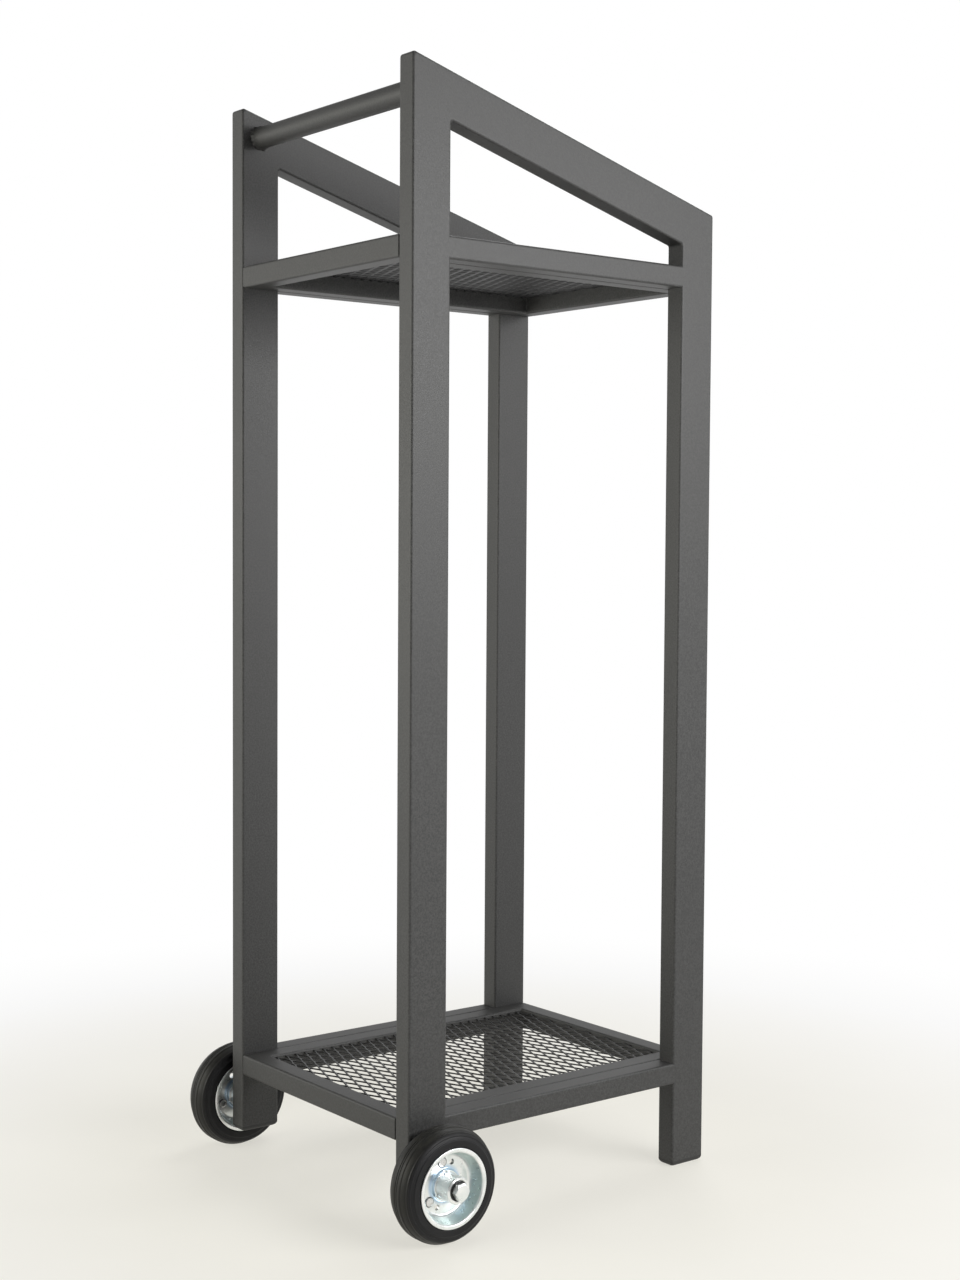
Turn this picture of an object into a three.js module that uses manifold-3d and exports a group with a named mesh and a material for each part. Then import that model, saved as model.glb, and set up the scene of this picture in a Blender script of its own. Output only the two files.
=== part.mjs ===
// Fireside log cart: two welded side frames, two expanded-metal shelves, a round handle and two
// rubber-tyred wheels. Millimetres. +Z is up, +X is the cart's right-hand side, -Y is the side of the
// wheels and the handle, and +Y is the side of the fixed feet. The origin is on the floor, in the middle
// of the cart's whole length and width.
import * as THREE from 'three';
import { mergeVertices } from 'three/addons/utils/BufferGeometryUtils.js';
import Module from 'manifold-3d';

const manifold = await Module();
manifold.setup();

// ---- Driving dimensions -------------------------------------------------------------

// Frame
const frameWidth = 292;          // over the outer faces of the two side frames
const frameDepth = 350;          // from the rear posts' back faces to the front posts' front faces
const frontHeight = 902;         // floor to the top of the slope at the front
const slopeRise = 98;            // how much higher the slope's top is at the rear
const windowHeight = 20;         // opening between the sloping bar and the upper rail, at the front post
const lowerShelfHeight = 100;    // floor to the top of the lower shelf
const postBelowAxle = 26;        // how far the rear posts reach below the wheels' axles

// Tubes
const postWidth = 40;            // wide faces of the posts and the sloping bars, seen from the side
const postThickness = 20;        // narrow faces, seen from the rear
const railHeight = 20;           // side rails and shelf frames
const shelfTubeWidth = 20;
const tubeWall = 1.5;
const tubeCorner = 2.2;          // outer corner radius
const mitreGap = 0.15;           // between two mitred ends, measured along the tube

// Handle
const handleDiameter = 20;
const handleWall = 1.5;

// End plugs
const plugHeight = 5;            // part of the plug that stands below the tube
const plugRounding = 3.5;        // rounding of the plug's lower edges
const plugInsert = 12;           // part of the plug inside the tube
const plugClearance = 0.2;       // between the insert and the tube's wall

// Expanded-metal sheets
const meshLongWay = 52;          // nominal pitch of the diamonds along X
const meshShortWay = 20.6;       // nominal pitch of the diamonds along Y
const meshStrand = 2.4;          // width of a strand
const meshThickness = 1.6;
const meshRecess = 2.5;          // from the top of the shelf frame down to the sheet
const meshClearance = 0.2;       // between the sheet's edge and the shelf frame

// Bolt, bush and bearing, each fitted round the one before
const boltDiameter = 8;
const boltGrip = 15;             // length of the bolt inside the post's boss
const boltHeadFlats = 13;
const boltHeadHeight = 5.3;
const boltChamfer = 0.7;
const boltPlay = 0.15;           // between the bolt and the bush
const threadFit = 0.1;           // between the bolt and the boss
const bossWall = 4;
const bossFit = 0.15;            // between the boss and the post
const bushWall = 1.85;
const bushOverhang = 0.5;        // the bush stands out of each end of the hub by this much
const bearingSpace = 2.8;        // between the bush and the hub, filled by the rollers
const rollerCount = 8;
const rollerRunning = 0.08;      // running clearance on each side of a roller
const cageRunning = 0.3;         // between the cage's end rings and the bush or the hub
const cageRingLength = 4;
const cageBarWidth = 1.1;
const cageSetback = 0.5;         // from the end of the hub to the end of the cage
const cageTuck = 1;              // how far the rollers and the bars reach into the cage's end rings
const hubLength = 44;
const hubWall = 2.9;
const hubChamfer = 0.6;

// Wheel rim and tyre, each fitted round the one before or measured down from the tread
const wheelDiameter = 100;
const tyreHeight = 15.6;         // from the bright rim ring up to the tread
const tyreWidth = 30;
const treadWidth = 6;            // flat band that runs on the floor
const shoulderHeight = 10.5;     // from the edge of the sidewall up to the tread, a quarter of an ellipse
const beadStep = 0.8;            // how far the sidewall stands out of the bead
const tyreFit = 0.3;             // between the tyre and the rim
const rimWidth = 32;             // over the two rim rings
const rimSheet = 1.5;            // thickness of the pressed sheet
const rimRingWidth = 3.7;        // width of the bright ring, seen from the side
const rimWallDraft = 4.5;        // how much the rim's wall narrows down to the web
const neckHeight = 5.4;          // the web's neck along the hub, from the wheel's mid plane
const neckFit = 0.1;             // between the hub and the neck
const rivetCount = 3;
const rivetShank = 5;
const rivetHead = 9;
const rivetHeadFlat = 6.2;       // flat end of the rivet's head
const rivetHeadHeight = 1.2;
const rivetFit = 0.1;
const locatingHoleDiameter = 4.5;
const wheelPhase = 157;          // degrees from +Y to the middle between two rivets, with the wheel at rest

// Facets
const cornerFacets = 2;          // on each corner of a tube
const plugFacets = 2;            // on the rounding of a plug's lower edge
const shoulderFacets = 3;        // on each shoulder of a tyre
const wheelFacets = 32;
const hubFacets = 24;
const boltFacets = 16;
const rivetFacets = 8;
const rollerFacets = 8;
const mergeDistance = 1e-4;      // corners closer than this are one corner

// ---- Dimensions worked out from them ------------------------------------------------

const halfWidth = frameWidth / 2;
const bayHalfWidth = halfWidth - postThickness;
const rearHeight = frontHeight + slopeRise;

// Each mitre runs from the frame's outer corner to its inner one, where the sloping bar's underside
// meets the post.
const slope = slopeRise / frameDepth;
const slopeAngle = Math.atan(slope);
const barUprightHeight = postWidth / Math.cos(slopeAngle);
const rearMitreHeight = barUprightHeight + postWidth * slope;
const frontMitreHeight = barUprightHeight - postWidth * slope;
const rearMitreMiddle = rearHeight - rearMitreHeight / 2;
const frontMitreMiddle = frontHeight - frontMitreHeight / 2;
const upperShelfHeight = frontHeight - frontMitreHeight - windowHeight;

// The wheels reach past the rear posts, and the origin is in the middle of the whole length.
const wheelRadius = wheelDiameter / 2;
const rearReach = Math.max(0, wheelRadius - postWidth / 2);
const rearFace = -(frameDepth - rearReach) / 2;
const frontFace = rearFace + frameDepth;
const rearPostY = rearFace + postWidth / 2;
const frontPostY = frontFace - postWidth / 2;

const boltRadius = boltDiameter / 2;
const bushBore = boltRadius + boltPlay;
const bushRadius = bushBore + bushWall;
const hubBore = bushRadius + bearingSpace;
const hubRadius = hubBore + hubWall;
const bushLength = hubLength + 2 * bushOverhang;
const bossBore = boltRadius + threadFit;
const bossRadius = bossBore + bossWall;
const bossLength = postThickness - tubeWall - bossFit;

const rimRingRadius = wheelRadius - tyreHeight;
const rimMouthRadius = rimRingRadius - rimRingWidth;
const webRadius = rimMouthRadius - rimWallDraft;
const neckRadius = hubRadius + neckFit;
const rivetCircle = (neckRadius + rimSheet + webRadius) / 2;

const innerCorner = tubeCorner - tubeWall;

// ---- Finishes -----------------------------------------------------------------------

function finish(color, roughness, metalness) {
  return new THREE.MeshStandardMaterial({ color, roughness, metalness });
}

const powderCoat = () => finish(0x4a4a48, 0.62, 0.2);
const meshCoat = () => finish(0x2a2a2b, 0.6, 0.2);
const zincPlate = () => finish(0xc9d3dc, 0.3, 0.9);
const brightSteel = () => finish(0xb9bec2, 0.32, 0.95);
const rubber = () => finish(0x151517, 0.75, 0);
const blackPlastic = () => finish(0x1d1c1c, 0.55, 0);

// ---- Helpers ------------------------------------------------------------------------

function addPiece(parent, name, geometry, material) {
  const piece = new THREE.Mesh(geometry, material);
  piece.name = name;
  parent.add(piece);
}

// A closed geometry as a solid that can be joined and cut.
function toSolid(geometry) {
  const bare = geometry.clone();
  bare.deleteAttribute('normal');
  bare.deleteAttribute('uv');
  const merged = mergeVertices(bare, mergeDistance);
  return new manifold.Manifold(new manifold.Mesh({
    numProp: 3,
    vertProperties: Float32Array.from(merged.attributes.position.array),
    triVerts: Uint32Array.from(merged.index.array),
  }));
}

function toGeometry(solid) {
  const mesh = solid.getMesh();
  const geometry = new THREE.BufferGeometry();
  geometry.setAttribute('position', new THREE.BufferAttribute(mesh.vertProperties, 3));
  geometry.setIndex(new THREE.BufferAttribute(mesh.triVerts, 1));
  return geometry;
}

// A rectangle centred on the origin, with rounded corners, added to a shape or a path.
function roundedRectangle(outline, width, height, radius) {
  const x = width / 2 - radius;
  const y = height / 2 - radius;
  outline.absarc(x, -y, radius, -Math.PI / 2, 0, false);
  outline.absarc(x, y, radius, 0, Math.PI / 2, false);
  outline.absarc(-x, y, radius, Math.PI / 2, Math.PI, false);
  outline.absarc(-x, -y, radius, Math.PI, Math.PI * 3 / 2, false);
  outline.closePath();
  return outline;
}

// A hollow tube along +Z, from 0 to length. A mitred end moves along Z by its slope for every
// millimetre along +X.
function rectangularTube(width, thickness, length, startSlope = 0, endSlope = 0) {
  const section = roundedRectangle(new THREE.Shape(), width, thickness, tubeCorner);
  const boreWidth = width - 2 * tubeWall;
  const boreThickness = thickness - 2 * tubeWall;
  section.holes.push(roundedRectangle(new THREE.Path(), boreWidth, boreThickness, innerCorner));
  const options = { depth: length, bevelEnabled: false, curveSegments: cornerFacets / 2 };
  const tube = new THREE.ExtrudeGeometry(section, options);
  const position = tube.attributes.position;
  for (let i = 0; i < position.count; i += 1) {
    const endSlopeHere = position.getZ(i) > length / 2 ? endSlope : startSlope;
    position.setZ(i, position.getZ(i) + endSlopeHere * position.getX(i));
  }
  return tube;
}

// A body turned about the X axis from a closed profile of [x, radius] points. The profile goes round
// anticlockwise, seen with the radius to the right and x upwards.
function turned(profile, facets) {
  const loop = [...profile, profile[0]];
  const points = loop.map(([x, radius]) => new THREE.Vector2(radius, x));
  return new THREE.LatheGeometry(points, facets).rotateZ(-Math.PI / 2);
}

// A shaft about the X axis from a profile of [x, radius] points that starts and ends on the axis.
function turnedShaft(profile, facets) {
  const points = profile.map(([x, radius]) => new THREE.Vector2(radius, x));
  return new THREE.LatheGeometry(points, facets).rotateZ(-Math.PI / 2);
}

function ring(start, end, innerRadius, outerRadius, facets) {
  const outside = [[start, outerRadius], [end, outerRadius]];
  return turned([[start, innerRadius], ...outside, [end, innerRadius]], facets);
}

function cylinder(start, end, radius, facets) {
  return turnedShaft([[start, 0], [start, radius], [end, radius], [end, 0]], facets);
}

// A closed skin over rings of points that all have the same count and go anticlockwise, seen from above.
function loft(rings) {
  const count = rings[0].length;
  const index = [];
  for (let level = 0; level < rings.length - 1; level += 1) {
    for (let i = 0; i < count; i += 1) {
      const here = level * count + i;
      const next = level * count + (i + 1) % count;
      index.push(here, next, next + count, here, next + count, here + count);
    }
  }
  const top = (rings.length - 1) * count;
  for (let i = 1; i < count - 1; i += 1) {
    index.push(0, i + 1, i);
    index.push(top, top + i, top + i + 1);
  }
  const geometry = new THREE.BufferGeometry();
  geometry.setAttribute('position', new THREE.Float32BufferAttribute(rings.flat(2), 3));
  geometry.setIndex(index);
  return geometry;
}

// ---- Side frames --------------------------------------------------------------------

// A post with its wide faces square to X, centred on X = 0 and Y = 0.
function post(bottom, mitreMiddle, mitreSlope) {
  const tube = rectangularTube(postWidth, postThickness, mitreMiddle - bottom, 0, mitreSlope);
  return tube.rotateZ(Math.PI / 2).translate(0, 0, bottom);
}

const rearPostFoot = wheelRadius - postBelowAxle;

function rearPost(side) {
  const tube = post(rearPostFoot + plugHeight, rearMitreMiddle, -rearMitreHeight / postWidth);
  const hole = cylinder(0, postThickness, bossRadius + bossFit, hubFacets);
  hole.scale(side, side, 1).translate(0, 0, wheelRadius);
  return toGeometry(toSolid(tube).subtract(toSolid(hole))).translate(0, rearPostY, 0);
}

function frontPost() {
  return post(plugHeight, frontMitreMiddle, frontMitreHeight / postWidth).translate(0, frontPostY, 0);
}

// The sloping bar, whose ends meet the posts along lines that halve the frame's corners.
function topBar() {
  const rearHalfCorner = (Math.PI / 2 - slopeAngle) / 2;
  const frontHalfCorner = (Math.PI / 2 + slopeAngle) / 2;
  const length = (frontPostY - rearPostY) / Math.cos(slopeAngle) - 2 * mitreGap;
  const startSlope = -1 / Math.tan(rearHalfCorner);
  const endSlope = 1 / Math.tan(frontHalfCorner);
  const bar = rectangularTube(postWidth, postThickness, length, startSlope, endSlope);
  bar.translate(0, 0, mitreGap);
  bar.rotateZ(-Math.PI / 2);
  bar.rotateX(-Math.PI / 2 - slopeAngle);
  return bar.translate(0, rearPostY, rearMitreMiddle);
}

// A rail between the posts, standing on the height of its top face.
function sideRail(topHeight) {
  const rail = rectangularTube(postThickness, railHeight, frameDepth - 2 * postWidth);
  return rail.rotateX(-Math.PI / 2).translate(0, rearFace + postWidth, topHeight - railHeight / 2);
}

function plugRing(height, width, thickness, corner) {
  const outline = roundedRectangle(new THREE.Path(), thickness, width, corner);
  return outline.getPoints(cornerFacets / 2).slice(0, -1).map((point) => [point.x, point.y, height]);
}

// An end plug standing on its rounded foot, with its insert reaching up into the post.
function plug() {
  const rings = [];
  for (let i = 0; i <= plugFacets; i += 1) {
    const turn = Math.PI / 2 * i / plugFacets;
    const inset = plugRounding * (1 - Math.sin(turn));
    const height = plugRounding * (1 - Math.cos(turn));
    rings.push(plugRing(height, postWidth - 2 * inset, postThickness - 2 * inset, tubeCorner));
  }
  rings.push(plugRing(plugHeight, postWidth, postThickness, tubeCorner));
  const insertInset = tubeWall + plugClearance;
  const insertWidth = postWidth - 2 * insertInset;
  const insertThickness = postThickness - 2 * insertInset;
  rings.push(plugRing(plugHeight, insertWidth, insertThickness, innerCorner));
  rings.push(plugRing(plugHeight + plugInsert, insertWidth, insertThickness, innerCorner));
  return loft(rings);
}

function sideFrame(sideName, side) {
  const frame = new THREE.Group();
  frame.position.x = side * (halfWidth - postThickness / 2);
  addPiece(frame, `${sideName}_rear_post`, rearPost(side), powderCoat());
  addPiece(frame, `${sideName}_front_post`, frontPost(), powderCoat());
  addPiece(frame, `${sideName}_top_bar`, topBar(), powderCoat());
  addPiece(frame, `${sideName}_upper_rail`, sideRail(upperShelfHeight), powderCoat());
  addPiece(frame, `${sideName}_lower_rail`, sideRail(lowerShelfHeight), powderCoat());
  addPiece(frame, `${sideName}_rear_plug`, plug().translate(0, rearPostY, rearPostFoot), blackPlastic());
  addPiece(frame, `${sideName}_front_plug`, plug().translate(0, frontPostY, 0), blackPlastic());
  return frame;
}

// ---- Shelves ------------------------------------------------------------------------

// A tube of a shelf frame along +Z, mitred at both ends and longer on its +X or -X side.
function shelfTube(outerLength, longSide, endGap) {
  const middleLength = outerLength - shelfTubeWidth - 2 * endGap;
  const tube = rectangularTube(shelfTubeWidth, railHeight, middleLength, -longSide, longSide);
  return tube.translate(0, 0, -middleLength / 2);
}

function crossTube(longSide) {
  const tube = shelfTube(2 * bayHalfWidth, longSide, 0);
  return tube.rotateZ(Math.PI / 2).rotateY(Math.PI / 2);
}

function lengthwiseTube(longSide) {
  return shelfTube(frameDepth, longSide, mitreGap).rotateX(-Math.PI / 2);
}

// A diamond prism centred on a point of the sheet, which stands past both of the sheet's faces.
function meshOpening(x, y, reachX, reachY) {
  const outline = [[x - reachX, y], [x, y - reachY], [x + reachX, y], [x, y + reachY]];
  const bottom = outline.map((corner) => [...corner, -meshThickness]);
  const top = outline.map((corner) => [...corner, 2 * meshThickness]);
  return toSolid(loft([bottom, top]));
}

// A flat sheet with rows of diamond openings, each row half a pitch along from the one before. The
// openings stop at a border round the sheet, which is as wide as half a strand.
function expandedSheet() {
  const width = 2 * (bayHalfWidth - shelfTubeWidth - meshClearance);
  const depth = frameDepth - 2 * (shelfTubeWidth + meshClearance);
  const columns = Math.max(1, Math.round(width / meshLongWay));
  const rows = Math.max(1, Math.round(depth / meshShortWay));
  const halfPitchX = width / columns / 2;
  const halfPitchY = depth / rows / 2;
  const border = meshStrand / 2;
  // The strands' edges lie half a strand inside the diamonds that the strands' middle lines draw.
  const inset = border * Math.hypot(halfPitchX, halfPitchY) / (halfPitchX * halfPitchY);
  const reachX = halfPitchX * (1 - inset);
  const reachY = halfPitchY * (1 - inset);
  const openings = [];
  for (let row = 0; row <= 2 * rows; row += 1) {
    for (let column = row % 2; column <= 2 * columns; column += 2) {
      const x = (column - columns) * halfPitchX;
      const y = (row - rows) * halfPitchY;
      openings.push(meshOpening(x, y, reachX, reachY));
    }
  }
  const plate = new THREE.BoxGeometry(width, depth, meshThickness).translate(0, 0, meshThickness / 2);
  const inside = new THREE.BoxGeometry(width - 2 * border, depth - 2 * border, railHeight);
  const cuts = manifold.Manifold.union(openings).intersect(toSolid(inside));
  return toGeometry(toSolid(plate).subtract(cuts));
}

function shelf(shelfName, topHeight) {
  const group = new THREE.Group();
  group.position.z = topHeight - railHeight / 2;
  const inset = shelfTubeWidth / 2;
  const rear = crossTube(-1).translate(0, rearFace + inset, 0);
  const front = crossTube(1).translate(0, frontFace - inset, 0);
  const middleY = (rearFace + frontFace) / 2;
  const right = lengthwiseTube(1).translate(bayHalfWidth - inset, middleY, 0);
  const left = lengthwiseTube(-1).translate(inset - bayHalfWidth, middleY, 0);
  const sheet = expandedSheet().translate(0, middleY, railHeight / 2 - meshRecess - meshThickness);
  addPiece(group, `${shelfName}_shelf_rear_tube`, rear, powderCoat());
  addPiece(group, `${shelfName}_shelf_front_tube`, front, powderCoat());
  addPiece(group, `${shelfName}_shelf_right_tube`, right, powderCoat());
  addPiece(group, `${shelfName}_shelf_left_tube`, left, powderCoat());
  addPiece(group, `${shelfName}_shelf_mesh`, sheet, meshCoat());
  return group;
}

// ---- Handle -------------------------------------------------------------------------

// The handle's ends sit on the side frames where their rear mitres have their middle.
function handle() {
  const radius = handleDiameter / 2;
  const tube = ring(-bayHalfWidth, bayHalfWidth, radius - handleWall, radius, hubFacets);
  return tube.translate(0, rearPostY, rearMitreMiddle);
}

// ---- Wheels -------------------------------------------------------------------------

// In this section X is measured outwards from the wheel's mid plane.

function tyre() {
  const beadX = rimWidth / 2 - rimSheet - tyreFit;
  const boreMiddle = webRadius + rimSheet + tyreFit;
  const boreEdge = rimMouthRadius + rimSheet + tyreFit;
  const beadTop = rimRingRadius + tyreFit;
  const side = [[beadX, boreEdge], [beadX, beadTop], [tyreWidth / 2, beadTop + beadStep]];
  const shoulderWidth = (tyreWidth - treadWidth) / 2;
  for (let i = 0; i <= shoulderFacets; i += 1) {
    const turn = Math.PI / 2 * i / shoulderFacets;
    const x = treadWidth / 2 + shoulderWidth * Math.cos(turn);
    side.push([x, wheelRadius - shoulderHeight * (1 - Math.sin(turn))]);
  }
  const innerSide = side.map(([x, radius]) => [-x, radius]);
  return turned([...innerSide, ...side.reverse(), [0, boreMiddle]], wheelFacets);
}

// The middle of each rivet, and of the two locating holes, as an angle about the axle.
const rivetAngles = Array.from({ length: rivetCount }, (_, i) => wheelPhase + 360 / rivetCount * (i + 0.5));
const locatingAngles = [wheelPhase + 90, wheelPhase - 90];

function aroundAxle(geometry, degrees) {
  const angle = THREE.MathUtils.degToRad(degrees);
  return geometry.translate(0, rivetCircle * Math.cos(angle), rivetCircle * Math.sin(angle));
}

function rimHole(degrees, radius) {
  return toSolid(aroundAxle(cylinder(-rimWidth, rimWidth, radius, rivetFacets), degrees));
}

// One half of the rim, with its web against the mid plane and its ring at the outer or the inner end.
function rimHalf(direction) {
  const ringX = rimWidth / 2;
  const neckTop = neckRadius + rimSheet;
  const half = turned([
    [0, neckRadius],
    [0, webRadius + rimSheet],
    [ringX - rimSheet, rimMouthRadius + rimSheet],
    [ringX - rimSheet, rimRingRadius],
    [ringX, rimRingRadius],
    [ringX, rimMouthRadius],
    [rimSheet, webRadius],
    [rimSheet, neckTop],
    [neckHeight, neckTop],
    [neckHeight, neckRadius],
  ], wheelFacets);
  if (direction < 0) half.rotateY(Math.PI);
  const rivetHoles = rivetAngles.map((degrees) => rimHole(degrees, rivetShank / 2 + rivetFit));
  const locatingHoles = locatingAngles.map((degrees) => rimHole(degrees, locatingHoleDiameter / 2));
  const holes = manifold.Manifold.union([...rivetHoles, ...locatingHoles]);
  return toGeometry(toSolid(half).subtract(holes));
}

function rivet() {
  const headEnd = rimSheet + rivetHeadHeight;
  const shank = rivetShank / 2;
  const head = rivetHead / 2;
  const flat = rivetHeadFlat / 2;
  return turnedShaft([
    [-headEnd, 0],
    [-headEnd, flat],
    [-rimSheet, head],
    [-rimSheet, shank],
    [rimSheet, shank],
    [rimSheet, head],
    [headEnd, flat],
    [headEnd, 0],
  ], rivetFacets);
}

function hub() {
  const end = hubLength / 2;
  return turned([
    [-end, hubBore],
    [-end, hubRadius - hubChamfer],
    [hubChamfer - end, hubRadius],
    [end - hubChamfer, hubRadius],
    [end, hubRadius - hubChamfer],
    [end, hubBore],
  ], hubFacets);
}

// Two end rings joined by bars, with a roller held between each two bars.
function rollerCage() {
  const end = hubLength / 2 - cageSetback;
  const ringStart = end - cageRingLength;
  const innerRadius = bushRadius + cageRunning;
  const outerRadius = hubBore - cageRunning;
  const rollerCircle = (bushRadius + hubBore) / 2;
  const rollerRadius = bearingSpace / 2 - rollerRunning;
  const barDepth = (outerRadius - innerRadius) / 2;
  let cage = toSolid(ring(ringStart, end, innerRadius, outerRadius, boltFacets));
  cage = cage.add(toSolid(ring(-end, -ringStart, innerRadius, outerRadius, boltFacets)));
  for (let i = 0; i < rollerCount; i += 1) {
    const angle = 2 * Math.PI * i / rollerCount;
    const roller = cylinder(-ringStart - cageTuck, ringStart + cageTuck, rollerRadius, rollerFacets);
    roller.translate(0, rollerCircle, 0).rotateX(angle);
    const bar = new THREE.BoxGeometry(2 * (ringStart + cageTuck), barDepth, cageBarWidth);
    bar.translate(0, rollerCircle, 0).rotateX(angle + Math.PI / rollerCount);
    cage = cage.add(toSolid(roller)).add(toSolid(bar));
  }
  return toGeometry(cage);
}

// A hexagon-head bolt with its head's underside at X = 0 and its shank along -X.
function bolt() {
  const cornerRadius = boltHeadFlats / Math.sqrt(3);
  const hexagon = cylinder(0, boltHeadHeight, cornerRadius, 6).rotateX(Math.PI / 6);
  const chamferReach = cornerRadius - boltHeadFlats / 2 + boltChamfer;
  const chamferedDisc = turnedShaft([
    [0, 0],
    [0, cornerRadius],
    [boltHeadHeight - boltChamfer, cornerRadius],
    [boltHeadHeight, cornerRadius - chamferReach],
    [boltHeadHeight, 0],
  ], hubFacets);
  const length = bushLength + boltGrip;
  const shank = turnedShaft([
    [-length, 0],
    [-length, boltRadius - boltChamfer],
    [boltChamfer - length, boltRadius],
    [boltHeadHeight / 2, boltRadius],
    [boltHeadHeight / 2, 0],
  ], boltFacets);
  return toGeometry(toSolid(hexagon).intersect(toSolid(chamferedDisc)).add(toSolid(shank)));
}

function wheel(sideName, side) {
  const group = new THREE.Group();
  group.position.set(side * (halfWidth + bushLength / 2), rearPostY, wheelRadius);
  group.rotation.z = side > 0 ? 0 : Math.PI;
  addPiece(group, `${sideName}_tyre`, tyre(), rubber());
  addPiece(group, `${sideName}_rim_outer_half`, rimHalf(1), zincPlate());
  addPiece(group, `${sideName}_rim_inner_half`, rimHalf(-1), zincPlate());
  rivetAngles.forEach((degrees, i) => {
    addPiece(group, `${sideName}_rim_rivet_${i + 1}`, aroundAxle(rivet(), degrees), brightSteel());
  });
  addPiece(group, `${sideName}_hub`, hub(), zincPlate());
  addPiece(group, `${sideName}_roller_cage`, rollerCage(), blackPlastic());
  const bushEnd = bushLength / 2;
  const bush = ring(-bushEnd, bushEnd, bushBore, bushRadius, hubFacets);
  addPiece(group, `${sideName}_bush`, bush, brightSteel());
  addPiece(group, `${sideName}_wheel_bolt`, bolt().translate(bushEnd, 0, 0), zincPlate());
  const boss = ring(-bushEnd - bossLength, -bushEnd, bossBore, bossRadius, hubFacets);
  addPiece(group, `${sideName}_axle_boss`, boss, brightSteel());
  return group;
}

// ---- The whole cart -----------------------------------------------------------------

const cart = new THREE.Group();
for (const [sideName, side] of [['right', 1], ['left', -1]]) {
  cart.add(sideFrame(sideName, side));
  cart.add(wheel(sideName, side));
}
cart.add(shelf('upper', upperShelfHeight));
cart.add(shelf('lower', lowerShelfHeight));
addPiece(cart, 'handle', handle(), powderCoat());

export default cart;
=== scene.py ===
# Fireside log cart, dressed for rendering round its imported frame. Metres, +Z up, wheels towards -Y.
# Each piece is a surface worked out with numpy from the frame's own boxes and the sizes below.

import bmesh
import bpy
import numpy as np
from bpy.props import FloatProperty, FloatVectorProperty, IntProperty, PointerProperty
from mathutils import Matrix, Vector


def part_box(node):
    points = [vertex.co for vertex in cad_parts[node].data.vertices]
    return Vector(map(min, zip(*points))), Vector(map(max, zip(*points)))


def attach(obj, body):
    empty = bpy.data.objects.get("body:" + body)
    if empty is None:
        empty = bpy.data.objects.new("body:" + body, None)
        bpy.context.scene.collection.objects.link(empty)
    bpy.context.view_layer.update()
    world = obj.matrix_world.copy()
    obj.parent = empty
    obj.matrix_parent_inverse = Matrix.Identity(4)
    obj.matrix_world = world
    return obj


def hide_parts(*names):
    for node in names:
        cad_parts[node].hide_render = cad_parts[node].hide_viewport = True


bl_info = {
    "name": "Fireside log cart",
    "version": (1, 0, 0),
    "blender": (4, 5, 0),
    "location": "View3D > Sidebar > Log cart",
    "description": "Dresses the packed frame of a fireside log cart",
    "category": "Object",
}

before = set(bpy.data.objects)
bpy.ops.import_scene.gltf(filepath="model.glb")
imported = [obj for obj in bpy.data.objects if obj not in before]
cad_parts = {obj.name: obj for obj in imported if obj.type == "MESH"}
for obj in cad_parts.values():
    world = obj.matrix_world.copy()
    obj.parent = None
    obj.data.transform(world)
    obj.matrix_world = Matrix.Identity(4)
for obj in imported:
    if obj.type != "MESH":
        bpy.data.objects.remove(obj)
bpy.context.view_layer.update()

SIDES = {"right": 1, "left": -1}
SHELVES = ("upper", "lower")
RIVETS = (1, 2, 3)
FRAME_BODY = "cart_frame"
# The steel finish paints shade at a rivet head's edge from the attribute below.
HEAD_EDGE = "head_edge"  # a rivet's attribute: distance from its axis over the head's radius
WHITE = (1, 1, 1)
MM = 0.001
MERGE = 1e-6             # points closer than this are one point
FILLET_ROOM = 0.48       # share of a side that the rounding of one corner may take
SHARP_DEGREES = 38       # faces that meet at more than this show an edge

# Points round a turned piece, a drilled hole or one diamond of the sheets.
TYRE_STEPS, RIM_STEPS, SHAFT_STEPS, SHANK_STEPS = 160, 192, 96, 64
RIVET_STEPS, HOLE_STEPS, CELL_STEPS, ROLLER_STEPS = 40, 40, 24, 16

# Radii between which a finish on a wheel changes.
# The tread's lighter, browner colour is partly dust and partly a painted sheen.
TREAD_DUST_AND_SHEEN = (0.0452, 0.0482)        # the tyre's black side, and its dusty tread
# On the rim's wall the greener colour is partly a tint and partly painted shade and reflection.
WALL_FOOT = (0.0262, 0.0275)   # the rim's web, and its greener wall
WALL_TOP = (0.0300, 0.0306)    # that wall, and the bright ring
# The bluer bend round the collar is painted shade and reflection.
BEND_FOOT = (0.0125, 0.0140)   # the hub, and the bluer bend round the collar
BEND_TOP = (0.0150, 0.0180)    # that bend, and the web

# Each lamp's place, and its width and height.
LAMPS = {"left_lamp": ((-0.65, -1.7, 0.72), (1.6, 0.8)),
         "right_lamp": ((1.7, 0.5, 1.0), (1.6, 0.5)),
         "top_lamp": ((-0.7, 1.3, 2.4), (1.4, 1.4))}
LAMP_TARGET = (0, 0, 0.7)
FLOOR_REACH = 9.0


# ---- Sizes, colours and settings ----

def length(name, description, default):
    return FloatProperty(name=name, description=description, default=default, unit="LENGTH", precision=5)


def angle(name, description, degrees):
    return FloatProperty(name=name, description=description, default=np.radians(degrees), subtype="ANGLE")


def setting(name, description, default, **limits):
    kind = IntProperty if isinstance(default, int) else FloatProperty
    return kind(name=name, description=description, default=default, **limits)


def colour(name, description, default):
    return FloatVectorProperty(name=name, description=description, default=default, size=3,
                               min=0, max=1, subtype="COLOR")


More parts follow.
